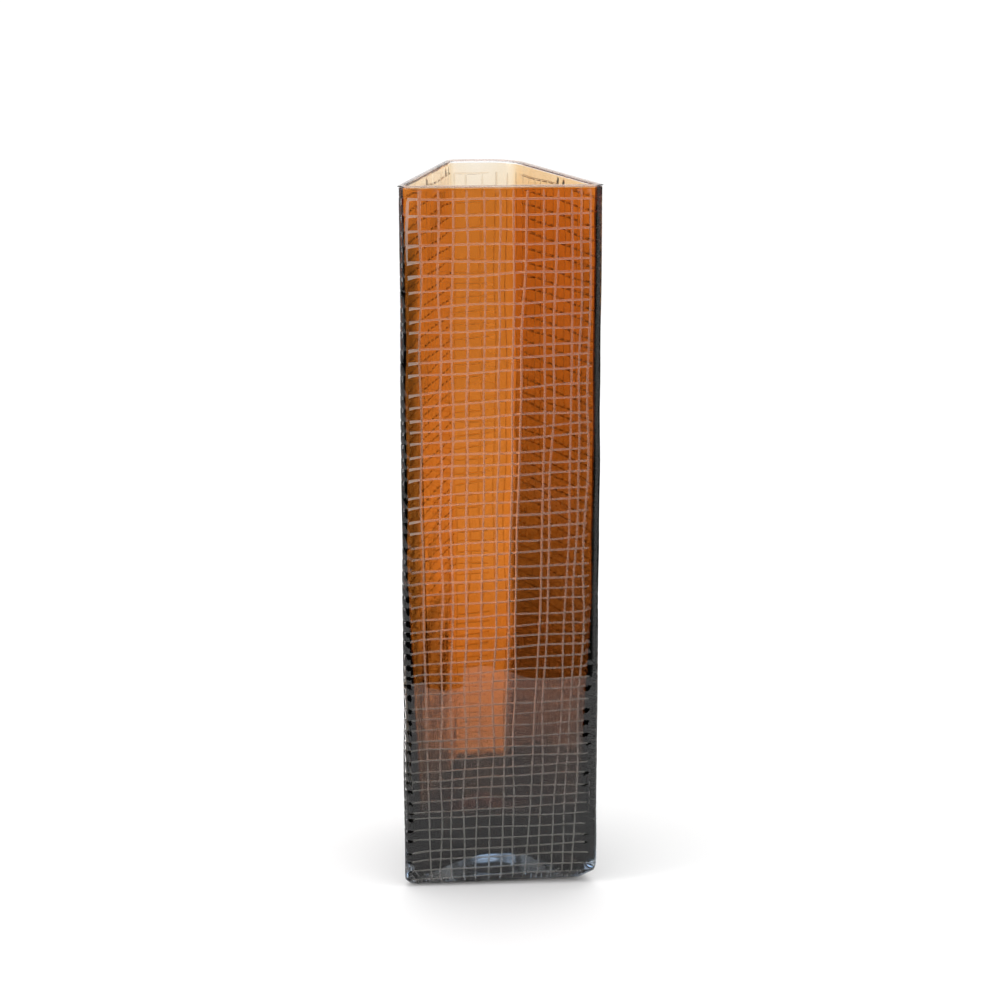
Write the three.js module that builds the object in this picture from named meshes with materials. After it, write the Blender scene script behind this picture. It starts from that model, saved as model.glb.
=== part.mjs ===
// A tall wedge-shaped art glass vase, blown in layers: an amber bubble, a smoke grey cup picked up
// over its lower part, a clear pad under its kicked-up floor, a clear casing over everything and a
// fire-polished lip. Millimetres, +Z up, the broad front face toward -Y, the origin at the middle
// of the resting face. Every layer is a closed shell that follows the same rounded wedge outline.
import * as THREE from 'three';

// Outside of the vase; the two widths are taken between the corners before they are rounded
const HEIGHT = 400;
const FRONT_WIDTH = 111.6;
const DEPTH = 110;
const BACK_WIDTH = 38;
const BACK_SHIFT = -4.6;
const FRONT_RADIUS = 2.5;
const BACK_LEFT_RADIUS = 5;
const BACK_RIGHT_RADIUS = 22;
const FOOT_RADIUS_LEFT = 6;
const FOOT_RADIUS_RIGHT = 12;

// Layers, measured inward from the outside
const GAP = 0.3;
const AMBER_DEPTH_TOP = 1.5;
const AMBER_DEPTH_LOW = 6.0;
const AMBER_THICKNESS = 1;
const THICKENING_FROM = 190;
const THICKENING_TO = 20;
const SMOKE_THICKNESS_LOW = 2;
const SMOKE_THICKNESS = 0.4;
const SMOKE_EDGE_THICKNESS = 0.25;
const SMOKE_THICK_UP_TO = 30;
const SMOKE_THIN_FROM = 50;
const SMOKE_TOP = 140;
const SMOKE_TOP_DRAWN = 380;
const DRAWN_CORNER_REACH = 25;

// Floor of the bubble: kicked up in the middle, arched up between the corners and rounded into the walls
const FLOOR_MIDDLE = 17;
const FLOOR_EDGE = 8;
const FLOOR_ROUNDING = 6;
const FLOOR_ARCH = 10;
const FLOOR_DROOP = -1.5;
const FLOOR_ARCH_REACH = 50;
const CASING_FLOOR = 3;

// Lip bead
const LIP_HEIGHT = 0.8;
const LIP_WIDTH = 3.2;
const LIP_PROUD = 0.5;

const CORNER_STEPS = 7;
const SIDE_STEPS = 3;
const ROUNDING_STEPS = 5;
const DOME_RINGS = [0.35, 0.6, 0.82];
const INSIDE_CORNER_SHRINK = 0.5;
const SMALLEST_CORNER = 1.5;

const { lerp, smoothstep } = THREE.MathUtils;

// ---------------------------------------------------------------- the wedge outline

// The outline before rounding: its four sharp corners, counter-clockwise from the front left.
const cornerAt = (x, y, radius) => ({ at: new THREE.Vector2(x, y), radius });
const CORNERS = [
  cornerAt(-FRONT_WIDTH / 2, -DEPTH / 2, FRONT_RADIUS),
  cornerAt(FRONT_WIDTH / 2, -DEPTH / 2, FRONT_RADIUS),
  cornerAt(BACK_SHIFT + BACK_WIDTH / 2, DEPTH / 2, BACK_RIGHT_RADIUS),
  cornerAt(BACK_SHIFT - BACK_WIDTH / 2, DEPTH / 2, BACK_LEFT_RADIUS),
];
const POINTS_PER_SIDE = CORNER_STEPS + 1 + SIDE_STEPS;
const OUTLINE_POINTS = CORNERS.length * POINTS_PER_SIDE;
const MIDDLE = new THREE.Vector2(BACK_SHIFT / 2, -DEPTH * 0.06);

// Unit vector along the side that starts at a corner.
function sideDirection(index) {
  const from = CORNERS[index].at;
  const to = CORNERS[(index + 1) % CORNERS.length].at;
  return to.clone().sub(from).normalize();
}

// A point on a rounded corner moved inward by `inset`; `share` runs from its start to its end.
function cornerPoint(corner, share, inset) {
  const before = sideDirection((corner + CORNERS.length - 1) % CORNERS.length);
  const after = sideDirection(corner);
  const inBefore = new THREE.Vector2(-before.y, before.x);
  const inAfter = new THREE.Vector2(-after.y, after.x);
  const turn = Math.acos(before.dot(after));
  const towardMiddle = inBefore.clone().add(inAfter).normalize();
  const diagonal = 1 / Math.cos(turn / 2);
  const radius = Math.max(CORNERS[corner].radius - INSIDE_CORNER_SHRINK * inset, SMALLEST_CORNER);
  const centre = CORNERS[corner].at.clone().addScaledVector(towardMiddle, (inset + radius) * diagonal);
  const angle = Math.atan2(-inBefore.y, -inBefore.x) + turn * share;
  return new THREE.Vector2(centre.x + radius * Math.cos(angle), centre.y + radius * Math.sin(angle));
}

// Point number `index` of the outline moved inward by `inset`: each corner, then the side after it.
function outlinePoint(index, inset) {
  const corner = Math.floor(index / POINTS_PER_SIDE);
  const step = index % POINTS_PER_SIDE;
  if (step <= CORNER_STEPS) return cornerPoint(corner, step / CORNER_STEPS, inset);
  const nextCorner = (corner + 1) % CORNERS.length;
  const from = cornerPoint(corner, 1, inset);
  return from.lerp(cornerPoint(nextCorner, 0, inset), (step - CORNER_STEPS) / (SIDE_STEPS + 1));
}

// A closed ring of points. `insetAt` and `heightAt` take the point on the outside of the vase.
function ring(insetAt, heightAt, scale = 1) {
  const points = [];
  for (let index = 0; index < OUTLINE_POINTS; index += 1) {
    const outside = outlinePoint(index, 0);
    const height = heightAt(outside);
    const point = outlinePoint(index, insetAt(outside, height));
    point.sub(MIDDLE).multiplyScalar(scale).add(MIDDLE);
    points.push(new THREE.Vector3(point.x, point.y, height));
  }
  return points;
}

// ---------------------------------------------------------------- lofted bodies

// Joins rings of equal length with triangles. The surface closes on a middle point at both ends,
// or, with `looped`, the last ring joins the first. Each quad is split from its lower left to its
// upper right corner whichever way the rings run, so that nested layers keep parallel faces.
function loft(rings, looped = false) {
  const positions = rings.flat().flatMap((point) => point.toArray());
  const count = rings[0].length;
  const indices = [];
  const bands = looped ? rings.length : rings.length - 1;
  for (let band = 0; band < bands; band += 1) {
    const low = band * count;
    const high = ((band + 1) % rings.length) * count;
    for (let i = 0; i < count; i += 1) {
      const next = (i + 1) % count;
      const rising = rings[band][i].z <= rings[(band + 1) % rings.length][i].z;
      const [from, to] = rising ? [low + i, high + next] : [high + i, low + next];
      indices.push(from, ...(rising ? [low + next, to] : [low + i, to]));
      indices.push(from, to, ...(rising ? [high + i] : [high + next]));
    }
  }
  if (!looped) {
    closeEnd(rings[0], 0, positions, indices, true);
    closeEnd(rings.at(-1), (rings.length - 1) * count, positions, indices, false);
  }
  const geometry = new THREE.BufferGeometry();
  geometry.setAttribute('position', new THREE.Float32BufferAttribute(positions, 3));
  geometry.setIndex(indices);
  geometry.computeVertexNormals();
  return geometry;
}

// Closes the hole inside a flat end ring with a fan round its middle.
function closeEnd(points, first, positions, indices, downward) {
  const middle = positions.length / 3;
  positions.push(MIDDLE.x, MIDDLE.y, points[0].z);
  for (let i = 0; i < points.length; i += 1) {
    const next = (i + 1) % points.length;
    const [a, b] = downward ? [next, i] : [i, next];
    indices.push(middle, first + a, first + b);
  }
}

// ---------------------------------------------------------------- the shared bubble surface

// How deep the amber layer lies: the casing over it thickens toward the base.
function amberDepth(height) {
  return lerp(AMBER_DEPTH_LOW, AMBER_DEPTH_TOP, smoothstep(height, THICKENING_TO, THICKENING_FROM));
}

// Where the smoke layer ends: one height round the vase, but drawn far up the right-hand wall and
// in a narrow tongue up the front left corner.
function smokeTop(outside) {
  const direction = outside.clone().sub(MIDDLE).normalize();
  const right = smoothstep(direction.x, 0.6, 1);
  const corner = 1 - smoothstep(outside.distanceTo(CORNERS[0].at), 0, DRAWN_CORNER_REACH);
  return lerp(SMOKE_TOP, SMOKE_TOP_DRAWN, Math.max(right, corner));
}

// How thick the smoke layer is: heavy round the base, thinner up the wall.
function smokeThickness(height) {
  const thinning = smoothstep(height, SMOKE_THICK_UP_TO, SMOKE_THIN_FROM);
  return lerp(SMOKE_THICKNESS_LOW, SMOKE_THICKNESS, thinning);
}

const FLOOR_INSET = amberDepth(0) + FLOOR_ROUNDING;
const WALL_FOOT = FLOOR_EDGE + FLOOR_ROUNDING;
const TOP_OF_WALL = HEIGHT - LIP_HEIGHT - GAP;
const flat = (value) => () => value;

// How far the floor's edge stands above FLOOR_EDGE: it arches up from corner to corner.
function floorArch(outside) {
  const toCorner = Math.min(...CORNERS.map((corner) => corner.at.distanceTo(outside)));
  return lerp(FLOOR_DROOP, FLOOR_ARCH, smoothstep(toCorner, 0, FLOOR_ARCH_REACH));
}

// Rings of the kicked-up floor from near the middle to its edge, `offset` inside the amber's outside.
function floorRings(offset, scales, inset = FLOOR_INSET) {
  return scales.map((scale) => {
    const edgeHeight = (outside) => FLOOR_EDGE + floorArch(outside);
    const height = (outside) => offset + lerp(FLOOR_MIDDLE, edgeHeight(outside), scale * scale);
    return ring(flat(inset), height, scale);
  });
}

// Rings that round the floor's edge up into the wall.
function roundingRings(offset) {
  const radius = FLOOR_ROUNDING - offset;
  const rings = [];
  for (let step = 0; step <= ROUNDING_STEPS; step += 1) {
    const angle = (step / ROUNDING_STEPS) * Math.PI / 2;
    const inset = FLOOR_INSET - radius * Math.sin(angle);
    const rise = FLOOR_EDGE + offset + radius * (1 - Math.cos(angle));
    rings.push(ring(flat(inset), (outside) => rise + floorArch(outside)));
  }
  return rings;
}

// Rings up the wall to the smoke's edge; `offsetAt` takes a height and the share of that way up.
function lowerWallRings(offsetAt) {
  return [0.12, 0.2, 0.3, 0.5, 0.75, 1].map((share) => ring(
    (outside, height) => amberDepth(height) + offsetAt(height, share),
    (outside) => lerp(WALL_FOOT, smokeTop(outside), share),
  ));
}

// Rings from just above the smoke's edge to the top of the wall.
function upperWallRings(offset) {
  return [0, 0.15, 0.35, 1].map((share) => ring(
    (outside, height) => amberDepth(height) + offset,
    (outside) => lerp(smokeTop(outside) + 2 * GAP, TOP_OF_WALL, share),
  ));
}

// ---------------------------------------------------------------- the five layers

// First bubble: a closed-bottomed amber shell from the floor to the lip.
function amberLining() {
  const wall = (offset) => [
    ...floorRings(offset, DOME_RINGS),
    ...roundingRings(offset),
    ...lowerWallRings(flat(offset)),
    ...upperWallRings(offset),
  ];
  return loft([...wall(0), ...wall(AMBER_THICKNESS).reverse()]);
}

// Smoke grey cup over the lower bubble, heavy at the base and drawn out to a thin edge.
function smokeCup() {
  const wall = (floorOffset, wallOffset) => [
    ...floorRings(floorOffset, DOME_RINGS),
    ...roundingRings(floorOffset),
    ...lowerWallRings(wallOffset),
  ];
  const outside = wall(-GAP - SMOKE_THICKNESS_LOW, (height, share) => {
    const thickness = share < 1 ? smokeThickness(height) : SMOKE_EDGE_THICKNESS;
    return -GAP - thickness;
  });
  const inside = wall(-GAP, flat(-GAP));
  return loft([...outside, ...inside.reverse()]);
}

// Clear pad under the kicked-up floor, flat below and domed above.
function basePad() {
  const inset = FLOOR_INSET + GAP;
  const dome = floorRings(-2 * GAP - SMOKE_THICKNESS_LOW, [...DOME_RINGS, 1], inset);
  return loft([ring(flat(inset), flat(CASING_FLOOR + GAP)), ...dome.reverse()]);
}

// Clear casing: rounded foot, straight outside, and an inside that follows the layers it covers.
function clearCasing() {
  const footRadius = (outside) => lerp(
    FOOT_RADIUS_LEFT,
    FOOT_RADIUS_RIGHT,
    outside.x / FRONT_WIDTH + 0.5,
  );
  const rings = [];
  for (let step = 0; step <= ROUNDING_STEPS; step += 1) {
    const angle = (step / ROUNDING_STEPS) * Math.PI / 2;
    rings.push(ring(
      (outside) => footRadius(outside) * (1 - Math.sin(angle)),
      (outside) => footRadius(outside) * (1 - Math.cos(angle)),
    ));
  }
  rings.push(ring(flat(0), flat(TOP_OF_WALL)));
  const inside = [
    ring(flat(FLOOR_INSET), flat(CASING_FLOOR)),
    ...roundingRings(-2 * GAP - SMOKE_THICKNESS_LOW),
    ...lowerWallRings((height) => -2 * GAP - smokeThickness(height)),
    ...upperWallRings(-GAP),
  ];
  return loft([...rings, ...inside.reverse()]);
}

// Fire-polished lip: an oval bead that stands a little proud of the wall.
function rimLip() {
  const steps = 12;
  const rings = [];
  for (let step = 0; step < steps; step += 1) {
    const angle = (step / steps) * Math.PI * 2;
    const inset = LIP_WIDTH / 2 - LIP_PROUD - (LIP_WIDTH / 2) * Math.cos(angle);
    const height = HEIGHT - LIP_HEIGHT / 2 + (LIP_HEIGHT / 2) * Math.sin(angle);
    rings.push(ring(flat(inset), flat(height)));
  }
  return loft(rings, true);
}

// ---------------------------------------------------------------- the assembly

function layer(name, geometry, color, roughness) {
  const material = new THREE.MeshStandardMaterial({
    color,
    roughness,
    metalness: 0,
    transparent: true,
    opacity: 0.6,
  });
  const mesh = new THREE.Mesh(geometry, material);
  mesh.name = name;
  return mesh;
}

const vase = new THREE.Group();
vase.add(layer('amber_lining', amberLining(), 0xd07a22, 0.05));
vase.add(layer('smoke_cup', smokeCup(), 0x3c3a3c, 0.05));
vase.add(layer('base_pad', basePad(), 0xa9b4bd, 0.05));
vase.add(layer('clear_casing', clearCasing(), 0xc4ccd2, 0.2));
vase.add(layer('rim_lip', rimLip(), 0xd9c9cf, 0.05));

export default vase;
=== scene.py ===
"""A tall wedge-shaped blown glass vase: a clear casing with a hand cut grid over amber and smoke."""
import math

import bpy
import numpy as np
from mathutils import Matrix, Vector


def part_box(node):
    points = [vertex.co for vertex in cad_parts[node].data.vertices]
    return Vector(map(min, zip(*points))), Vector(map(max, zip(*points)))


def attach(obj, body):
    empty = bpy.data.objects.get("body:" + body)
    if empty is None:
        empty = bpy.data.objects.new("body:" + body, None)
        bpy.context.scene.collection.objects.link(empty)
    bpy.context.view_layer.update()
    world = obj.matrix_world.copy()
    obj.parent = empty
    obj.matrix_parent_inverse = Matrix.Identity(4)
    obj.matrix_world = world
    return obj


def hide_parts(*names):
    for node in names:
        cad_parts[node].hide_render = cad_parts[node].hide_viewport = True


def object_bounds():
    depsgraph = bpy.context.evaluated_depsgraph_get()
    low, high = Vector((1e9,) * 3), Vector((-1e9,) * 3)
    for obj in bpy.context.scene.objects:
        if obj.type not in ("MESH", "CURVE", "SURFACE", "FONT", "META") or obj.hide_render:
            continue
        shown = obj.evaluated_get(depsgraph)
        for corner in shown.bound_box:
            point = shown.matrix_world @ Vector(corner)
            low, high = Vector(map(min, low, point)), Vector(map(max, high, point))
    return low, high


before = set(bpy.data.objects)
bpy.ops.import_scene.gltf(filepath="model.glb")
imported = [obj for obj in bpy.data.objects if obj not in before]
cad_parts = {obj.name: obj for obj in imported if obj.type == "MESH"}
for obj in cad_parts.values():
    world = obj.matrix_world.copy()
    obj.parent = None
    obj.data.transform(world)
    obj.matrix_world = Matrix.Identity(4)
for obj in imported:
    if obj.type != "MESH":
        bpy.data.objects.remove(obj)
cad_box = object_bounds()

MM = 0.001
rng = np.random.default_rng(7)

# ---------------------------------------------------------------- sizes, in millimetres

HEIGHT = (cad_box[1].z - cad_box[0].z) / MM
WALL_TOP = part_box("clear_casing")[1].z / MM
FRONT_WIDTH = 111.6
DEPTH = 110.0
BACK_WIDTH = 38.0
BACK_SHIFT = -4.6
CORNERS = [
    (-FRONT_WIDTH / 2, -DEPTH / 2, 2.5),
    (FRONT_WIDTH / 2, -DEPTH / 2, 2.5),
    (BACK_SHIFT + BACK_WIDTH / 2, DEPTH / 2, 22.0),
    (BACK_SHIFT - BACK_WIDTH / 2, DEPTH / 2, 5.0),
]
MIDDLE = np.array([BACK_SHIFT / 2, -DEPTH * 0.06])
INSIDE_CORNER_SHRINK = 0.5
SMALLEST_CORNER = 1.5
FOOT_RADIUS_LEFT = 6.0
FOOT_RADIUS_RIGHT = 12.0

# The coloured layers lie at this depth in the wall, deeper toward the foot
AMBER_DEPTH_TOP = 1.5
AMBER_DEPTH_LOW = 6.0
THICKENING_FROM = 190.0
THICKENING_TO = 20.0
LINING = 1.0

# The floor of the cavity: kicked up in the middle, arched up between the corners
FLOOR_MIDDLE = 17.0
FLOOR_EDGE = 8.0
FLOOR_ROUNDING = 6.0
FLOOR_ARCH = 10.0
FLOOR_DROOP = -1.5
FLOOR_ARCH_REACH = 50.0
FLOOR_ARCH_FULLNESS = 0.6


def smooth(low, high, value):
    """0 below low, 1 above high, and a smooth rise between."""
    t = np.clip((np.asarray(value, float) - low) / (high - low), 0, 1)
    return t * t * (3 - 2 * t)


def mix(a, b, share):
    return a + (b - a) * share


# ---------------------------------------------------------------- the wedge outline


def corner_frames():
    """For each corner: its point, radius, turn, start angle and the unit vector toward the middle."""
    points = np.array([c[:2] for c in CORNERS])
    frames = []
    for i, (x, y, radius) in enumerate(CORNERS):
        before = points[i] - points[i - 1]
        after = points[(i + 1) % len(points)] - points[i]
        before = before / np.linalg.norm(before)
        after = after / np.linalg.norm(after)
        turn = math.acos(before @ after)
        inward = np.array([-before[1] - after[1], before[0] + after[0]])
        inward = inward / np.linalg.norm(inward)
        frames.append((points[i], radius, turn, math.atan2(-before[0], before[1]), inward))
    return frames


FRAMES = corner_frames()


def corner_point(corner, share, inset):
    """Points on one rounded corner, `share` from its start to its end, moved inward by `inset`."""
    point, radius, turn, start, inward = FRAMES[corner]
    radius = np.maximum(radius - INSIDE_CORNER_SHRINK * inset, SMALLEST_CORNER)
    centre = point + inward * ((inset + radius) / math.cos(turn / 2))[..., None]
    angle = start + turn * share
    return centre + radius[..., None] * np.stack([np.cos(angle), np.sin(angle)], -1)


def outline_pieces():
    """Lengths of corner, side, corner, side... round the outside, and where each one starts.

    The order is front left corner, front, front right corner, right, back right corner, back,
    back left corner, left.
    """
    zero = np.zeros(1)
    lengths = []
    for i in range(len(CORNERS)):
        lengths.append(FRAMES[i][1] * FRAMES[i][2])
        end = corner_point(i, zero + 1, zero)[0]
        start = corner_point((i + 1) % len(CORNERS), zero, zero)[0]
        lengths.append(np.linalg.norm(start - end))
    return np.array(lengths), np.concatenate([[0], np.cumsum(lengths)])


LENGTHS, STARTS = outline_pieces()
ROUND = STARTS[-1]


def outline(along, inset):
    """Points at `along` mm round the outside of the vase, moved inward by `inset` mm."""
    along, inset = np.broadcast_arrays(np.asarray(along, float) % ROUND, np.asarray(inset, float))
    result = np.zeros(along.shape + (2,))
    piece = np.clip(np.searchsorted(STARTS, along, side="right") - 1, 0, len(LENGTHS) - 1)
    share = (along - STARTS[piece]) / LENGTHS[piece]
    for corner in range(len(CORNERS)):
        on_arc = piece == 2 * corner
        result[on_arc] = corner_point(corner, share[on_arc], inset[on_arc])
        on_side = piece == 2 * corner + 1
        one = np.ones(on_side.sum())
        from_point = corner_point(corner, one, inset[on_side])
        to_point = corner_point((corner + 1) % len(CORNERS), one * 0, inset[on_side])
        result[on_side] = mix(from_point, to_point, share[on_side][:, None])
    return result


FRONT_START = STARTS[1]
FRONT_LEFT_X = corner_point(0, np.ones(1), np.zeros(1))[0][0]


def along_front(x):
    """The distance round the outline of a point of the front face at x."""
    return FRONT_START + (np.asarray(x, float) - FRONT_LEFT_X)


BACK_SPREAD = 11.0
WALL_BLEND = 2.5


def face_weights(along):
    """How much each point belongs to the front, right, back and left wall, blended at the corners.

    The back wall takes in part of the wide corner beside it.
    """
    along = np.asarray(along, float) % ROUND
    weights = []
    for side in range(len(CORNERS)):
        start, end = STARTS[2 * side + 1], STARTS[2 * side + 2]
        if side == 2:
            start -= BACK_SPREAD
        middle = (start + end) / 2
        away = np.abs((along - middle + ROUND / 2) % ROUND - ROUND / 2) - (end - start) / 2
        weights.append(np.exp(-np.maximum(away, 0) / WALL_BLEND))
    weights = np.array(weights)
    return weights / weights.sum(0)


# ---------------------------------------------------------------- meshes from rings


def ring(along, inset, height, scale=1.0):
    """One closed ring of 3-D points in millimetres."""
    flat = MIDDLE + (outline(along, inset) - MIDDLE) * scale
    height = np.broadcast_to(np.asarray(height, float), flat.shape[:1])
    return np.column_stack([flat, height])


def loft_faces(rows, columns, first=0, looped=False):
    """Quads between neighbouring rows of a grid that closes on itself round the vase."""
    low = np.arange(rows if looped else rows - 1)
    high = (low + 1) % rows
    i = np.arange(columns)
    following = (i + 1) % columns
    quads = np.stack([
        low[:, None] * columns + i, low[:, None] * columns + following,
        high[:, None] * columns + following, high[:, None] * columns + i,
    ], -1)
    return quads.reshape(-1, 4) + first


def build_mesh(name, points, faces, materials, material_index=None):
    """A smooth-shaded mesh object, with edges sharp where two materials meet."""
    mesh = bpy.data.meshes.new(name)
    mesh.from_pydata((points * MM).tolist(), [], [list(f) for f in faces])
    for material in materials:
        mesh.materials.append(material)
    if material_index is not None:
        mesh.polygons.foreach_set("material_index", material_index.astype(np.int32))
        edge_of_loop = np.zeros(len(mesh.loops), np.int32)
        mesh.loops.foreach_get("edge_index", edge_of_loop)
        sizes = np.zeros(len(mesh.polygons), np.int32)
        mesh.polygons.foreach_get("loop_total", sizes)
        loop_material = np.repeat(material_index, sizes)
        lowest = np.full(len(mesh.edges), 99)
        highest = np.full(len(mesh.edges), -1)
        np.minimum.at(lowest, edge_of_loop, loop_material)
        np.maximum.at(highest, edge_of_loop, loop_material)
        sharp = mesh.attributes.new("sharp_edge", "BOOLEAN", "EDGE")
        sharp.data.foreach_set("value", lowest != highest)
    mesh.shade_smooth()
    mesh.update()
    piece = bpy.data.objects.new(name, mesh)
    bpy.context.scene.collection.objects.link(piece)
    return piece


def closed_loft(name, rings, materials, looped=False):
    """A closed body from rings of equal length, ended by a fan at each end or looped."""
    columns = len(rings[0])
    points = np.concatenate(rings)
    faces = [tuple(q) for q in loft_faces(len(rings), columns, looped=looped)]
    if not looped:
        points = np.vstack([points, rings[0].mean(0), rings[-1].mean(0)])
        last = (len(rings) - 1) * columns
        for i in range(columns):
            following = (i + 1) % columns
            faces.append((len(points) - 2, following, i))
            faces.append((len(points) - 1, last + i, last + following))
    return build_mesh(name, points, faces, materials)


# ---------------------------------------------------------------- hand-made unevenness


def unevenness(along, height, seed, size, waves=7, shortest=45.0):
    """A soft random swell of about `size` mm over the wall, the same at both ends of the outline."""
    source = np.random.default_rng(seed)
    total = 0.0
    for _ in range(waves):
        turns = source.integers(0, int(ROUND / shortest) + 1)
        climb = source.uniform(0, 2 * math.pi / shortest)
        phase = source.uniform(0, 2 * math.pi)
        total = total + np.sin(2 * math.pi * turns * along / ROUND + climb * height + phase)
    return size * total / math.sqrt(waves)


def amber_depth(height):
    return mix(AMBER_DEPTH_LOW, AMBER_DEPTH_TOP, smooth(THICKENING_TO, THICKENING_FROM, height))


def floor_edge(along):
    """Height of the floor's edge: it arches up from corner to corner."""
    outside = outline(along, 0)
    gaps = [np.linalg.norm(outside - np.array(corner[:2]), axis=-1) for corner in CORNERS]
    rise = smooth(0, FLOOR_ARCH_REACH, np.minimum.reduce(gaps)) ** FLOOR_ARCH_FULLNESS
    return FLOOR_EDGE + mix(FLOOR_DROOP, FLOOR_ARCH, rise)


def foot_radius(along):
    x = outline(along, 0)[..., 0]
    return mix(FOOT_RADIUS_LEFT, FOOT_RADIUS_RIGHT, x / FRONT_WIDTH + 0.5)


# ---------------------------------------------------------------- the cut lines

CUT_HALF_WIDTH_TOP = 0.58
CUT_HALF_WIDTH_FOOT = 0.47
CUT_DEPTH = 0.38
# Across a cut: place from one side to the other, and share of the depth
CUT_PROFILE = [(-1.0, 0.0), (-0.5, 0.85), (0.5, 0.85), (1.0, 0.0)]
# Where a line fades out, its mesh columns or rows draw together to this
UNCUT_HALF_WIDTH = 0.3
# A face belongs to a cut where the cut has at least this share of its depth
CUT_FACE_STRENGTH = 0.25
ROW_PITCH_TOP = 8.0
ROW_PITCH_BOTTOM = 5.7
TOP_ROW = 392.6
FRONT_LINES_END = 48.0
LOWEST_ROW = 5.0
FIRST_UPRIGHT_X = -40.0
SIDE_COUNT = 13
BACK_COUNT = 6
BELOW_FOOT = -2.0

# The front face's upright lines: x at the top, a third of the way up, and at the foot
FRONT_UPRIGHTS = [
    (-43.0, -42.5, -39.5), (-33.9, -33.0, -34.4), (-25.8, -27.4, -28.1), (-17.7, -19.6, -21.2),
    (-8.6, -11.2, -14.6), (-0.5, -3.4, -6.9), (7.0, 3.9, 0.0), (14.5, 7.9, 6.9),
    (22.6, 20.8, 13.8), (30.6, 25.0, 21.2), (38.2, 35.0, 28.1), (43.2, 39.9, 34.4),
    (48.4, 45.0, 40.7),
]
UPRIGHT_HEIGHTS = (HEIGHT, 139.0, 8.0)

# A short upright stroke beside the front left corner joins the first rows, where the wheel landed
LANDING_X = -49.9
LANDING_ENDS = (356.0, 394.0)
LANDING_END_X = -46.0
LANDING_MARGIN = 2.0
FRESH_CUTS_FROM = 200.0


def cut_half_width(height):
    """The wheel cuts a little finer toward the foot."""
    return mix(CUT_HALF_WIDTH_FOOT, CUT_HALF_WIDTH_TOP, smooth(60, 300, height))


class Upright:
    """A cut line that runs up the vase."""

    SWING = 0.28
    WIDENING_REACH = 60

    def __init__(self, top, middle, foot, ends, taper=(3.0, 0.8), widening=0.0):
        self.curve = np.polyfit(UPRIGHT_HEIGHTS, (top, middle, foot), 2)
        self.phase = rng.uniform(0, 2 * math.pi, 3)
        self.wave = rng.uniform(55, 130, 3)
        self.low, self.high = ends
        self.taper = taper
        self.width = rng.uniform(0.88, 1.12)
        self.widening = widening

    def centre(self, height):
        swing = sum(np.sin(height * 2 * math.pi / w + p) for w, p in zip(self.wave, self.phase))
        return np.polyval(self.curve, height) + self.SWING * swing

    def half_width(self, height):
        flare = self.widening * smooth(self.high - self.WIDENING_REACH, self.high, height)
        return cut_half_width(height) * (self.width + flare)

    def strength(self, height):
        """1 along the line, falling to 0 at its tapered ends."""
        start = smooth(self.low, self.low + self.taper[0], height)
        return start * (1 - smooth(self.high - self.taper[1], self.high, height))


def wall_uprights():
    """Every upright line round the vase, in order along the outline."""
    landing = along_front(np.full(3, LANDING_X))
    lines = [Upright(*landing, LANDING_ENDS, taper=(14.0, 3.0), widening=0.5)]
    for xs in FRONT_UPRIGHTS:
        widening = 0.8 if xs[0] < FIRST_UPRIGHT_X else 0.0
        ends = (BELOW_FOOT, rng.uniform(396.8, WALL_TOP))
        lines.append(Upright(*along_front(xs), ends, widening=widening))
    walls = [
        (STARTS[3] + 2.5, STARTS[4] - 1.0, SIDE_COUNT),
        (STARTS[4] + 7.0, STARTS[6] + 0.5, BACK_COUNT),
        (STARTS[7] + 3.0, STARTS[8] - 2.5, SIDE_COUNT),
    ]
    for start, end, count in walls:
        pitch = (end - start) / (count - 1)
        for i in range(count):
            at = start + pitch * i + rng.uniform(-0.9, 0.9)
            middle = at + rng.uniform(-1.1, 1.1)
            foot = at + rng.uniform(-1.2, 1.2)
            lines.append(Upright(at, middle, foot, (BELOW_FOOT, rng.uniform(391.0, 394.5))))
    return lines


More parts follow.
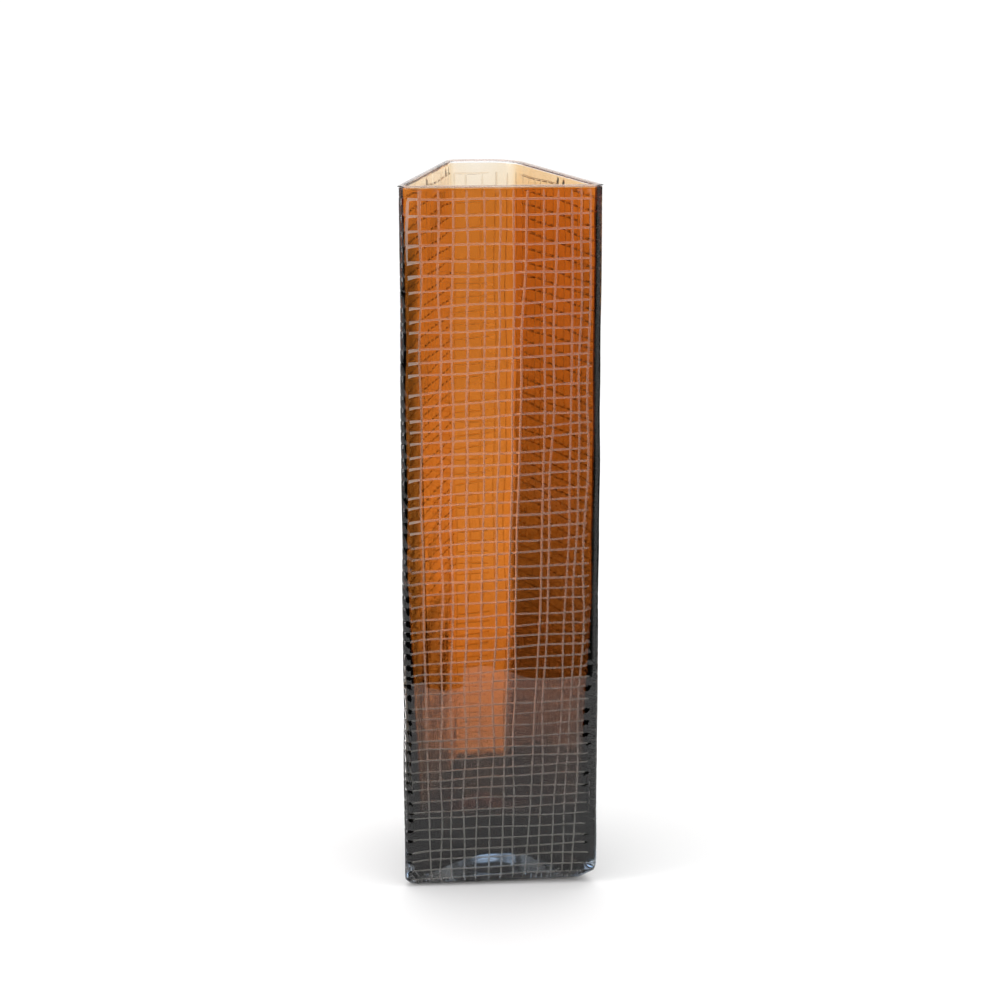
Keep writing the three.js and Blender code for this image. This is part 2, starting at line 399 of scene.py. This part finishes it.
class Level:
    """A cut line that runs round the walls, broken at the corners.

    Its heights at the four corners tilt it: nearly level at the top, rising to the right lower down.
    Beside the front left corner it hooks downward, and is wider where the wheel landed.
    """

    SWING = 0.22
    HOOK_LENGTH = 3.0
    LANDING_PLACE = 2.2
    LANDING_SPREAD = 2.8

    def __init__(self, height):
        self.height = height
        slope_share = 1 - smooth(300, HEIGHT, height)
        self.rise = mix(0.4, 4.6, slope_share) * (0.55 + 0.45 * smooth(0, 120, height))
        self.corner_heights = rng.normal(0, 0.7, len(CORNERS))
        self.phase = rng.uniform(0, 2 * math.pi, 3)
        self.turns = rng.integers(3, 9, 3)
        self.hook = rng.uniform(0.6, 2.0)
        self.landing = rng.uniform(0.35, 0.95) * mix(0.3, 1, smooth(180, 330, height))
        self.width = rng.uniform(0.86, 1.12)
        self.breaks = []
        for side in range(len(CORNERS)):
            start = STARTS[2 * side + 1] + rng.uniform(-0.6, 0.9)
            end = STARTS[2 * side + 2] + rng.uniform(-1.2, 0.8)
            self.breaks.append((start, end))
        self.breaks[0] = (self.breaks[0][0], along_front(FRONT_LINES_END + rng.uniform(-0.7, 0.7)))

    def centre(self, along):
        along = np.asarray(along, float)
        corner_at = np.array([STARTS[2 * i] + LENGTHS[2 * i] / 2 for i in range(len(CORNERS))])
        lift = np.array([-self.rise / 2, self.rise / 2, self.rise * 0.1, -self.rise * 0.3])
        knots = np.concatenate([corner_at, [corner_at[0] + ROUND]])
        values = lift + self.corner_heights
        values = np.append(values, values[0])
        base = np.interp((along - corner_at[0]) % ROUND + corner_at[0], knots, values)
        swing = sum(np.sin(2 * math.pi * t * along / ROUND + p) for t, p in zip(self.turns, self.phase))
        left_end = self.breaks[0][0]
        fall = np.exp(-np.maximum(along - left_end, 0) / self.HOOK_LENGTH)
        droop = fall * smooth(left_end - 7, left_end, along)
        return self.height + base + self.SWING * swing - self.hook * droop

    def strength(self, along):
        """1 on a wall, 0 round the corners between them."""
        along = np.asarray(along, float) % ROUND
        total = 0.0
        for start, end in self.breaks:
            for shift in (-ROUND, 0, ROUND):
                begun = smooth(start - 1.2, start, along + shift)
                ended = smooth(end - 1, end + 1, along + shift)
                total = total + begun * (1 - ended)
        return np.minimum(total, 1)

    def bulge(self, along):
        """The wheel bites wider where it lands beside the front left corner."""
        left_end = self.breaks[0][0]
        off = (np.asarray(along, float) - left_end - self.LANDING_PLACE) / self.LANDING_SPREAD
        return 1 + self.landing * np.exp(-off ** 2)


def wall_levels():
    """Every level line, from the bottom up, closer together toward the base."""
    heights = [TOP_ROW]
    while heights[-1] > LOWEST_ROW + ROW_PITCH_BOTTOM:
        pitch = mix(ROW_PITCH_BOTTOM, ROW_PITCH_TOP, smooth(-60, HEIGHT * 1.1, heights[-1]))
        heights.append(heights[-1] - pitch * (1 + rng.uniform(-0.13, 0.13)))
    return [Level(h) for h in reversed(heights)]


# Between uprights one mesh column is enough, but the wide gaps round the corners are filled
WIDEST_PLAIN_GAP = 10.5
FILL_PITCH = 1.5
MIDDLE_HEIGHT = 200.0


class Grid:
    """The mesh grid that follows both families of cut lines."""

    def __init__(self):
        self.uprights = wall_uprights()
        self.levels = wall_levels()
        self.columns = self.plan_columns()
        self.rows = self.plan_rows()

    def plan_columns(self):
        """(line, place across it) for cut columns, or (line, share of the way to the next) between."""
        columns = []
        for k, line in enumerate(self.uprights):
            columns += [("cut", k, place) for place, _ in CUT_PROFILE]
            following = self.uprights[(k + 1) % len(self.uprights)]
            gap = (following.centre(MIDDLE_HEIGHT) - line.centre(MIDDLE_HEIGHT)) % ROUND
            between = 1 if gap < WIDEST_PLAIN_GAP else int(gap / FILL_PITCH)
            columns += [("gap", k, (j + 1) / (between + 1)) for j in range(between)]
        return columns

    def plan_rows(self):
        rows = [("foot", 0, share) for share in (0.0, 0.03, 0.1, 0.2)]
        for m in range(len(self.levels)):
            rows += [("cut", m, place) for place, _ in CUT_PROFILE]
            if m + 1 < len(self.levels):
                rows.append(("gap", m, 0.5))
        rows += [("top", 0, share) for share in (0.35, 0.75)]
        return rows

    def upright_edge(self, k, place, height):
        line = self.uprights[k % len(self.uprights)]
        half = mix(UNCUT_HALF_WIDTH, line.half_width(height), line.strength(height))
        return line.centre(height) + place * half + (ROUND if k >= len(self.uprights) else 0)

    def level_edge(self, m, place, along):
        line = self.levels[m]
        width = cut_half_width(line.height) * line.width * line.bulge(along)
        half = mix(UNCUT_HALF_WIDTH, width, line.strength(along))
        return line.centre(along) + place * half

    def along_at(self, column, height):
        kind, k, value = column
        if kind == "cut":
            return self.upright_edge(k, value, height)
        return mix(self.upright_edge(k, 1, height), self.upright_edge(k + 1, -1, height), value)

    def height_at(self, row, along):
        kind, m, value = row
        if kind == "foot":
            return value * np.minimum(foot_radius(along), self.level_edge(0, -1, along))
        if kind == "cut":
            return self.level_edge(m, value, along)
        if kind == "gap":
            return mix(self.level_edge(m, 1, along), self.level_edge(m + 1, -1, along), value)
        return mix(self.level_edge(len(self.levels) - 1, 1, along), WALL_TOP, value)

    def solve(self):
        """Where each column and row cross, and how deep the cut is there."""
        along = np.zeros((len(self.rows), len(self.columns)))
        height = np.full_like(along, HEIGHT / 2)
        for _ in range(4):
            for c, column in enumerate(self.columns):
                along[:, c] = self.along_at(column, height[:, c])
            for r, row in enumerate(self.rows):
                height[r] = self.height_at(row, along[r])
        profile = dict(CUT_PROFILE)
        depth = np.zeros_like(along)
        for c, (kind, k, value) in enumerate(self.columns):
            if kind == "cut":
                depth[:, c] = profile[value] * self.uprights[k].strength(height[:, c])
        for r, (kind, m, value) in enumerate(self.rows):
            if kind == "cut":
                depth[r] = np.maximum(depth[r], profile[value] * self.levels[m].strength(along[r]))
        return along, height, depth * CUT_DEPTH

    def cut_faces(self, along, height):
        """For each quad of the grid: 0 polished, 1 cut, 2 where cuts begin beside the left edge."""
        in_column = np.zeros((len(self.rows) - 1, len(self.columns)), bool)
        for c, (kind, k, value) in enumerate(self.columns):
            if kind == "cut" and value < 1:
                middle = (height[:-1, c] + height[1:, c]) / 2
                in_column[:, c] = self.uprights[k].strength(middle) > CUT_FACE_STRENGTH
        for r, (kind, m, value) in enumerate(self.rows[:-1]):
            if kind == "cut" and value < 1:
                middle = (along[r] + np.roll(along[r], -1)) / 2
                middle[-1] = along[r][-1]
                in_column[r] |= self.levels[m].strength(middle) > CUT_FACE_STRENGTH
        landing = along[:-1] > along_front(LANDING_X - LANDING_MARGIN)
        landing &= along[:-1] < along_front(LANDING_END_X)
        landing &= height[:-1] > FRESH_CUTS_FROM
        return np.where(in_column & landing, 2, in_column)


# ---------------------------------------------------------------- shader helpers


class Nodes:
    """Short hand for building a material's node tree."""

    def __init__(self, name):
        self.material = bpy.data.materials.new(name)
        self.material.use_nodes = True
        self.tree = self.material.node_tree
        self.tree.nodes.clear()
        self.output = self.tree.nodes.new("ShaderNodeOutputMaterial")
        self.position = self.tree.nodes.new("ShaderNodeTexCoord").outputs["Object"]

    def add(self, kind, inputs=None, **settings):
        node = self.tree.nodes.new(kind)
        for key, value in settings.items():
            setattr(node, key, value)
        for key, value in (inputs or {}).items():
            if hasattr(value, "is_output"):
                self.tree.links.new(value, node.inputs[key])
            else:
                node.inputs[key].default_value = value
        return node

    def noise(self, scale, stretch=(1, 1, 1), detail=3.0, roughness=0.55, distortion=0.0):
        """A noise pattern with features of about 1/scale metres."""
        mapping = self.add("ShaderNodeMapping", {"Vector": self.position, "Scale": stretch})
        return self.add("ShaderNodeTexNoise", {
            "Vector": mapping.outputs["Vector"], "Scale": scale, "Detail": detail,
            "Roughness": roughness, "Distortion": distortion,
        }).outputs["Fac"]

    def ramp(self, factor, stops):
        """A colour ramp through (place, colour) stops."""
        node = self.add("ShaderNodeValToRGB", {"Fac": factor})
        elements = node.color_ramp.elements
        while len(elements) < len(stops):
            elements.new(0.5)
        for element, (place, colour) in zip(elements, stops):
            element.position = place
            element.color = (*colour, 1)
        return node.outputs["Color"]

    def scaled(self, factor, low, high):
        """A 0 to 1 factor, brought to between low and high."""
        node = self.add("ShaderNodeMapRange", {"Value": factor, "To Min": low, "To Max": high})
        return node.outputs["Result"]

    def bump(self, height, strength, distance):
        return self.add("ShaderNodeBump", {
            "Height": height, "Strength": strength, "Distance": distance,
        }).outputs["Normal"]

    def glass(self, inputs, absorb=None):
        """Ends the tree in a Principled shader, and returns the material.

        `absorb` is how strongly the inside absorbs red, green and blue, per millimetre.
        """
        shader = self.add("ShaderNodeBsdfPrincipled", inputs)
        self.tree.links.new(shader.outputs["BSDF"], self.output.inputs["Surface"])
        if absorb:
            strongest = max(absorb)
            volume = self.add("ShaderNodeVolumeAbsorption", {
                "Color": (*[1 - a / strongest for a in absorb], 1),
                "Density": strongest / MM,
            })
            self.tree.links.new(volume.outputs["Volume"], self.output.inputs["Volume"])
        return self.material


# ---------------------------------------------------------------- materials

GLASS_IOR = 1.5
ROUGHNESS_SPREAD = 0.08


def polished_glass():
    """Colourless glass with the slight swirl and pull of blown work."""
    n = Nodes("polished_clear_glass")
    pull = n.noise(14, stretch=(1, 1, 0.35), detail=1.5)
    fine = n.noise(90, stretch=(1, 1, 0.5), detail=2.0)
    height = n.add("ShaderNodeMath", {0: pull, 1: n.scaled(fine, 0, 0.06)}, operation="ADD").outputs[0]
    return n.glass({
        "Base Color": (0.985, 0.99, 1.0, 1),
        "Roughness": 0.0,
        "IOR": GLASS_IOR,
        "Transmission Weight": 1.0,
        "Normal": n.bump(height, 0.35, 0.0006),
    })


def cut_glass(name, transmission, roughness):
    """Satin wheel-cut or ground glass: it scatters light and looks pale and slightly grainy."""
    n = Nodes(name)
    grain = n.noise(2600, detail=2.0)
    patches = n.noise(160, detail=3.0)
    colour = n.ramp(patches, [(0.3, (0.97, 0.92, 0.83)), (0.7, (1.0, 0.965, 0.90))])
    return n.glass({
        "Base Color": colour,
        "Roughness": n.scaled(patches, roughness - ROUGHNESS_SPREAD, roughness + ROUGHNESS_SPREAD),
        "IOR": GLASS_IOR,
        "Transmission Weight": transmission,
        "Normal": n.bump(grain, 0.3, 0.00008),
    })


def amber_glass():
    """Honey amber in faint upright streaks. It lies inside clear glass, so it doesn't bend light."""
    n = Nodes("amber_glass")
    streaks = n.noise(60, stretch=(1, 1, 0.12), detail=3.0, distortion=0.4)
    return n.glass({
        "Base Color": n.ramp(streaks, [(0.35, (0.985, 0.955, 0.90)), (0.65, (1, 1, 1))]),
        "Roughness": 0.0,
        "IOR": 1.0,
        "Transmission Weight": 1.0,
    }, absorb=(0.54, 1.86, 4.1))


def smoke_glass():
    """Neutral smoke grey with soft wisps."""
    n = Nodes("smoke_glass")
    wisps = n.noise(35, stretch=(1, 1, 0.5), detail=4.0, distortion=0.8)
    return n.glass({
        "Base Color": n.ramp(wisps, [(0.35, (0.95, 0.95, 0.955)), (0.65, (1, 1, 1))]),
        "Roughness": 0.0,
        "IOR": 1.0,
        "Transmission Weight": 1.0,
    }, absorb=(1.15, 1.02, 0.98))


def base_glass():
    """The thick clear pad: a faint blue-grey cast in depth."""
    n = Nodes("base_glass")
    swirl = n.noise(40, detail=3.0, distortion=1.2)
    return n.glass({
        "Base Color": n.ramp(swirl, [(0.3, (0.95, 0.965, 0.985)), (0.7, (1, 1, 1))]),
        "Roughness": 0.0,
        "IOR": 1.0,
        "Transmission Weight": 1.0,
    }, absorb=(0.014, 0.008, 0.002))


def lip_glass():
    """Fire-polished lip, with the soft pulls that the flame leaves."""
    n = Nodes("lip_glass")
    pull = n.noise(55, detail=2.0)
    return n.glass({
        "Base Color": n.ramp(pull, [(0.3, (0.55, 0.43, 0.38)), (0.7, (0.68, 0.54, 0.48))]),
        "Roughness": 0.0,
        "IOR": GLASS_IOR,
        "Transmission Weight": 1.0,
        "Normal": n.bump(pull, 0.4, 0.0005),
    })


# ---------------------------------------------------------------- the pieces

# Hand-made swell of the outside and of the cavity's wall, which also stays a little thicker
OUTER_SWELL = 0.12
INNER_SWELL = 0.2
INNER_SWELL_MEAN = 0.35
PONTIL_RADIUS = 13.0
PONTIL_DEPTH = 1.4
EDGE_ROUNDING = 0.5


def cavity_rings(along):
    """Rings of the cavity's surface from the lip down to the middle of the kicked-up floor."""
    rings = []
    wall_foot = floor_edge(along) + FLOOR_ROUNDING
    upper = list(np.linspace(WALL_TOP - 2, THICKENING_FROM, 16))
    lower = [mix(THICKENING_FROM, wall_foot, share) for share in np.linspace(0, 1, 18)[1:]]
    for height in upper + lower:
        fade = smooth(FLOOR_EDGE, 60, height) * (1 - smooth(WALL_TOP - 25, WALL_TOP, height))
        swell = (INNER_SWELL_MEAN + unevenness(along, height, 11, INNER_SWELL)) * fade
        rings.append(ring(along, amber_depth(height) + LINING + swell, height))
    return rings + floor_rings(along, LINING)[::-1]


FLOOR_SCALES = (0.06, 0.2, 0.35, 0.5, 0.65, 0.78, 0.89, 0.96)


def floor_rings(along, offset):
    """Rings of the kicked-up floor and its rounded edge, from the middle outward and up."""
    inset = amber_depth(0.0) + FLOOR_ROUNDING
    rings = []
    for scale in FLOOR_SCALES:
        height = offset + mix(FLOOR_MIDDLE, floor_edge(along), scale ** 2)
        rings.append(ring(along, inset, height, scale))
    radius = FLOOR_ROUNDING - offset
    for angle in np.linspace(0, math.pi / 2, 8)[:-1]:
        height = floor_edge(along) + offset + radius * (1 - math.cos(angle))
        rings.append(ring(along, inset - radius * math.sin(angle), height))
    return rings


def underside_rings(along):
    """The flat resting face, ground satin, with a shallow pontil hollow in its middle."""
    flat = ring(along, foot_radius(along), 0.0)
    centre = np.array([*MIDDLE, 0.0])
    direction = flat - centre
    direction = direction / np.linalg.norm(direction, axis=1)[:, None]
    rings = []
    for share in (0.15, 0.4, 0.65, 0.85, 1.0):
        circle = centre + direction * PONTIL_RADIUS * share
        circle[:, 2] = PONTIL_DEPTH * (1 - share ** 2)
        rings.append(circle)
    for share in (0.12, 0.5):
        rings.append(mix(rings[4], flat, share))
    return rings


def clear_casing():
    """The whole clear body: cut outside, polished top edge, cavity, and flat underside."""
    grid = Grid()
    along, height, depth = grid.solve()
    foot = foot_radius(along)
    below = np.clip(foot - height, 0, foot)
    rounding = foot - np.sqrt(foot ** 2 - below ** 2)
    fade = smooth(4, 40, height) * (1 - smooth(WALL_TOP - 20, WALL_TOP - 4, height))
    swell = unevenness(along, height, 5, OUTER_SWELL) * fade
    inset = rounding + depth + swell
    wall = np.concatenate([outline(along, inset), height[..., None]], -1)

    top_along = along[-1]
    wall_inset = amber_depth(WALL_TOP) + LINING
    rim = []
    for angle in np.linspace(0, math.pi / 2, 4):
        drop = EDGE_ROUNDING * (1 - math.sin(angle))
        rim.append(ring(top_along, EDGE_ROUNDING * (1 - math.cos(angle)), WALL_TOP - drop))
    for angle in np.linspace(math.pi / 2, 0, 4):
        drop = EDGE_ROUNDING * (1 - math.sin(angle))
        rim.append(ring(top_along, wall_inset - EDGE_ROUNDING * (1 - math.cos(angle)), WALL_TOP - drop))

    under = underside_rings(along[0])
    rings = under + list(wall) + rim + cavity_rings(top_along)
    columns = len(grid.columns)
    points = np.concatenate(rings)
    faces = loft_faces(len(rings), columns)
    material_index = np.zeros(len(faces), int)
    first_wall_face = len(under) * columns
    cut = grid.cut_faces(along, height).ravel()
    material_index[first_wall_face:first_wall_face + cut.size] = cut
    material_index[:first_wall_face] = 1
    faces = [tuple(f) for f in faces]
    ends = [tuple(range(columns))[::-1], tuple(range((len(rings) - 1) * columns, len(rings) * columns))]
    faces += ends
    material_index = np.append(material_index, [1, 0])
    materials = [
        polished_glass(),
        cut_glass("satin_cut_glass", 0.87, 0.2),
        cut_glass("fresh_cut_glass", 0.72, 0.55),
    ]
    return build_mesh("cut_casing", points, faces, materials, material_index)


def layer_positions(count=180):
    return np.linspace(0, ROUND, count, endpoint=False)


# On the front, right, back and left wall
AMBER_THICKNESS = (0.78, 0.32, 0.13, 0.17)
AMBER_SKIN = 0.1
# Painted reflection: the amber on the side and back walls is thinned near the rim so it looks lighter
# there, standing in for the top light's reflection inside
AMBER_PAINTED_SHEEN_TOP = 0.62
AMBER_BACK_LOW_GAIN = 0.5


def amber_lining():
    """The amber bubble: heaviest on the front wall, thin on the back facet."""
    along = layer_positions()
    weights = face_weights(along)
    thickness = sum(w * t for w, t in zip(weights, AMBER_THICKNESS))
    wall_foot = floor_edge(along) + FLOOR_ROUNDING

    def wall(share):
        rings = floor_rings(along, mix(AMBER_SKIN, LINING - AMBER_SKIN, share))
        lower = [mix(wall_foot, THICKENING_FROM, up) for up in np.linspace(0, 1, 18)]
        upper = list(np.linspace(THICKENING_FROM, WALL_TOP - 0.8, 14)[1:])
        for height in lower + upper:
            # Painted reflection of the top light: thinner amber near the rim, on every wall but the
            # front, gives a lighter colour there
            thinning = mix(1, AMBER_PAINTED_SHEEN_TOP, (1 - weights[0]) * smooth(375, 395, height))
            gain = 1 + AMBER_BACK_LOW_GAIN * weights[2] * (1 - smooth(110, 165, height))
            inset = amber_depth(height) + AMBER_SKIN + share * thickness * thinning * gain
            rings.append(ring(along, inset, height))
        return rings

    return closed_loft("amber_layer", wall(0) + wall(1)[::-1], [amber_glass()])


SMOKE_TOP = 150.0
SMOKE_TOP_DRAWN = 380.0
SMOKE_HEAVY_BELOW = 45.0
SMOKE_WALL = 0.58
# Of that, on the front, right, back and left wall
SMOKE_SHARES = (1.0, 1.6, 1.9, 1.5)
SMOKE_SHARE_TONGUE = 0.35
# Drawn up the right wall, the front left corner and the front right corner
SMOKE_RIGHT = 2.3
SMOKE_CORNER = 0.42
SMOKE_CORNER_RIGHT = 0.16
SMOKE_HEAVY = 2.4
SMOKE_SKIN = 0.03
SMOKE_THICKEST = 4.6


def past_front_left(along):
    """Distance past the front left corner: along the front above 0, along the left wall below 0."""
    return (along - LENGTHS[0] + ROUND / 2) % ROUND - ROUND / 2


def drawn_corner(along, height):
    """1 at the front left corner, gone soon along the front wall and slowly along the left wall."""
    past = past_front_left(along)
    fades_from = mix(78, 25, smooth(130, 215, height))
    gone_at = mix(90, 36, smooth(150, 320, height))
    share = np.clip((-past - fades_from) / (gone_at - fades_from), 0, 1)
    return (1 - smooth(2, 9, past)) * (1 - share)


def back_tongue(along):
    """1 from the left part of the back facet round to the left wall, where the smoke stays thin."""
    begun = smooth(STARTS[4] + 10, STARTS[4] + 15, along)
    ended = smooth(STARTS[7] + 24, STARTS[7] + 31, along)
    return begun * (1 - ended)


def smoke_thickness(along, height):
    """Heavy round the base, thinning up the wall, and drawn up the right wall and one corner."""
    weights = face_weights(along)
    right = weights[1]
    tongue = back_tongue(along)
    shares = mix(sum(w * s for w, s in zip(weights, SMOKE_SHARES)), SMOKE_SHARE_TONGUE, tongue)
    up = np.clip((SMOKE_TOP - height) / (SMOKE_TOP - SMOKE_HEAVY_BELOW), 0, 1.2)
    drawn = np.clip((SMOKE_TOP_DRAWN - height) / (SMOKE_TOP_DRAWN - SMOKE_HEAVY_BELOW), 0, 1.2)
    wall = mix(SMOKE_WALL * shares * up ** 1.5, SMOKE_RIGHT * drawn ** 2, right)
    begun = smooth(STARTS[2] - 5, STARTS[2], along)
    ended = smooth(STARTS[3] + 12, STARTS[3] + 32, along)
    right_corner = begun * (1 - ended)
    corner = SMOKE_CORNER * drawn_corner(along, height) + SMOKE_CORNER_RIGHT * right_corner
    corner = corner * (1 - smooth(352, 380, height))
    heavy = SMOKE_HEAVY * (1 - smooth(mix(28, 38, tongue), mix(47, 42, tongue), height))
    return np.minimum(SMOKE_SKIN + wall + corner + heavy, SMOKE_THICKEST)


def smoke_cup():
    """The smoke grey cup between the amber and the clear."""
    along = layer_positions()
    wall_foot = floor_edge(along) + FLOOR_ROUNDING
    drawn = np.maximum(face_weights(along)[1], drawn_corner(along, SMOKE_TOP_DRAWN) > 0)
    top = mix(SMOKE_TOP, SMOKE_TOP_DRAWN, drawn)

    def wall(share):
        rings = floor_rings(along, mix(-1.8, -0.15, share))
        for step in np.linspace(0, 1, 40) ** 1.4:
            height = mix(wall_foot, top, step)
            inset = amber_depth(height) - 0.15 - (1 - share) * smoke_thickness(along, height)
            rings.append(ring(along, inset, height))
        return rings

    return closed_loft("smoke_layer", wall(0) + wall(1)[::-1], [smoke_glass()])


PAD_SIDE_GAP = 0.3
PAD_BELOW_FLOOR = 2.4
PAD_BOTTOM = 3.3


def base_pad():
    """The clear gather under the kicked-up floor."""
    along = layer_positions(120)
    inset = amber_depth(0.0) + FLOOR_ROUNDING + PAD_SIDE_GAP
    dome = []
    for scale in (1.0, *FLOOR_SCALES[::-1]):
        height = -PAD_BELOW_FLOOR + mix(FLOOR_MIDDLE, floor_edge(along), scale ** 2)
        dome.append(ring(along, inset, height, scale))
    bottom = [ring(along, inset, PAD_BOTTOM, scale) for scale in (0.3, 0.7, 1.0)]
    return closed_loft("base_pad_glass", bottom + dome, [base_glass()])


LIP_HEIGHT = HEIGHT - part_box("rim_lip")[0].z / MM
LIP_WIDTH = 3.2
LIP_PROUD = 0.5


def rim_lip():
    """The fire-polished bead round the mouth, a little uneven as the flame leaves it."""
    along = layer_positions(260)
    uneven = 1 - 0.1 * (1 + np.sin(along * 2 * math.pi * 5 / ROUND + 1)) / 2
    rings = []
    for angle in np.linspace(0, 2 * math.pi, 20, endpoint=False):
        across = LIP_WIDTH / 2 * math.cos(angle)
        inset = LIP_WIDTH / 2 - LIP_PROUD - across * uneven
        up = LIP_HEIGHT / 2 * math.sin(angle)
        rings.append(ring(along, inset, HEIGHT - LIP_HEIGHT / 2 + up * uneven))
    return closed_loft("lip_bead", rings, [lip_glass()], looped=True)


# ---------------------------------------------------------------- camera, floor and light


def make_camera():
    """A long lens, slightly left of square to the front face and looking down a little."""
    distance = 1.5
    yaw = math.radians(3.41)
    camera_height = 0.600
    sideways = 0.0003
    aim = Vector((0.0027, -0.003, 0.2132))
    data = bpy.data.cameras.new("camera")
    data.lens = 98.0
    data.sensor_width = 36.0
    data.clip_start = 0.05
    camera = bpy.data.objects.new("camera", data)
    left = sideways - distance * math.sin(yaw)
    back = aim.y - distance * math.cos(yaw)
    camera.location = (left, back, camera_height)
    camera.rotation_euler = (aim - camera.location).to_track_quat("-Z", "Y").to_euler()
    bpy.context.scene.collection.objects.link(camera)
    bpy.context.scene.camera = camera


def make_floor():
    """A pale table top that ends a little way in front of the vase, a hair below its foot."""
    n = Nodes("pale_table")
    cloud = n.noise(3.0, detail=2.0)
    n.glass({
        "Base Color": n.ramp(cloud, [(0.3, (0.91, 0.91, 0.91)), (0.7, (0.93, 0.93, 0.93))]),
        "Roughness": 0.8,
        "Specular IOR Level": 0.2,
    })
    left, right, near, far, level = -0.62, 0.55, -0.43, 1.3, -0.0001
    corners = [(left, near, level), (right, near, level), (right, far, level), (left, far, level)]
    mesh = bpy.data.meshes.new("table")
    mesh.from_pydata(corners, [], [(0, 1, 2, 3)])
    mesh.materials.append(n.material)
    table = bpy.data.objects.new("table", mesh)
    bpy.context.scene.collection.objects.link(table)


def area_light(name, place, aim, size, power, colour=(1, 1, 1)):
    data = bpy.data.lights.new(name, "AREA")
    data.shape = "RECTANGLE"
    data.size, data.size_y = size
    data.energy = power
    data.color = colour
    light = bpy.data.objects.new(name, data)
    light.location = place
    light.rotation_euler = (Vector(aim) - Vector(place)).to_track_quat("-Z", "Y").to_euler()
    bpy.context.scene.collection.objects.link(light)


WORLD_STRENGTH = 1.06
# Black flags: compass bearing of the middle (0 is +X, 90 is +Y), half width, and darkness
FLAGS = [(248, 34, 0.97), (16, 28, 0.9)]
FLAG_SOFT = 8
FLAG_TOP = (0.35, 0.6)


def make_world():
    """A white studio with black flags behind the camera and to the right, for glass's dark edges."""
    world = bpy.data.worlds.new("studio")
    bpy.context.scene.world = world
    world.use_nodes = True
    tree = world.node_tree
    tree.nodes.clear()
    links = tree.links

    def math_node(operation, first, second=None, third=None):
        node = tree.nodes.new("ShaderNodeMath")
        node.operation = operation
        for slot, value in enumerate((first, second, third)):
            if value is None:
                continue
            if hasattr(value, "is_output"):
                links.new(value, node.inputs[slot])
            else:
                node.inputs[slot].default_value = value
        return node.outputs[0]

    def step(value, low, high):
        node = tree.nodes.new("ShaderNodeMapRange")
        node.interpolation_type = "SMOOTHSTEP"
        links.new(value, node.inputs["Value"])
        node.inputs["From Min"].default_value = low
        node.inputs["From Max"].default_value = high
        return node.outputs["Result"]

    coordinates = tree.nodes.new("ShaderNodeTexCoord").outputs["Generated"]
    level = tree.nodes.new("ShaderNodeVectorMath")
    level.operation = "MULTIPLY"
    links.new(coordinates, level.inputs[0])
    level.inputs[1].default_value = (1, 1, 0)
    bearing = tree.nodes.new("ShaderNodeVectorMath")
    bearing.operation = "NORMALIZE"
    links.new(level.outputs[0], bearing.inputs[0])
    split = tree.nodes.new("ShaderNodeSeparateXYZ")
    links.new(coordinates, split.inputs[0])
    below_top = math_node("SUBTRACT", 1.0, step(split.outputs["Z"], *FLAG_TOP))
    studio = WORLD_STRENGTH
    for centre, half_width, darkness in FLAGS:
        toward = tree.nodes.new("ShaderNodeVectorMath")
        toward.operation = "DOT_PRODUCT"
        links.new(bearing.outputs[0], toward.inputs[0])
        angle = math.radians(centre)
        toward.inputs[1].default_value = (math.cos(angle), math.sin(angle), 0)
        edges = [math.cos(math.radians(half_width + soft)) for soft in (FLAG_SOFT, -FLAG_SOFT)]
        shade = math_node("MULTIPLY", step(toward.outputs["Value"], *edges), below_top)
        studio = math_node("MULTIPLY", studio, math_node("MULTIPLY_ADD", shade, -darkness, 1.0))
    seen = tree.nodes.new("ShaderNodeLightPath").outputs["Is Camera Ray"]
    plain = math_node("MAXIMUM", studio, seen)
    background = tree.nodes.new("ShaderNodeBackground")
    background.inputs["Color"].default_value = (1, 1, 1, 1)
    links.new(plain, background.inputs["Strength"])
    output = tree.nodes.new("ShaderNodeOutputWorld")
    links.new(background.outputs[0], output.inputs["Surface"])


def set_studio():
    scene = bpy.context.scene
    scene.view_settings.view_transform = "Standard"
    scene.cycles.max_bounces = 24
    scene.cycles.transmission_bounces = 24
    scene.cycles.glossy_bounces = 12
    scene.cycles.diffuse_bounces = 4
    make_world()
    area_light("top_softbox", (0.1, 0.3, 1.9), (0, 0, 0.1), (1.8, 1.8), 14)
    area_light("left_softbox", (-1.5, -0.5, 0.9), (0, 0, 0.3), (0.5, 1.2), 6, (1.0, 0.95, 0.97))


# ---------------------------------------------------------------- assembly

make_camera()
make_floor()
set_studio()

PIECES = [
    (amber_lining, "amber_lining", "amber_glass"),
    (smoke_cup, "smoke_cup", "smoke_glass"),
    (base_pad, "base_pad", "base_glass"),
    (clear_casing, "clear_casing", "cut_clear_glass"),
    (rim_lip, "rim_lip", "lip_glass"),
]
for build, node, slot in PIECES:
    piece = build()
    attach(piece, "root")
    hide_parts(node)
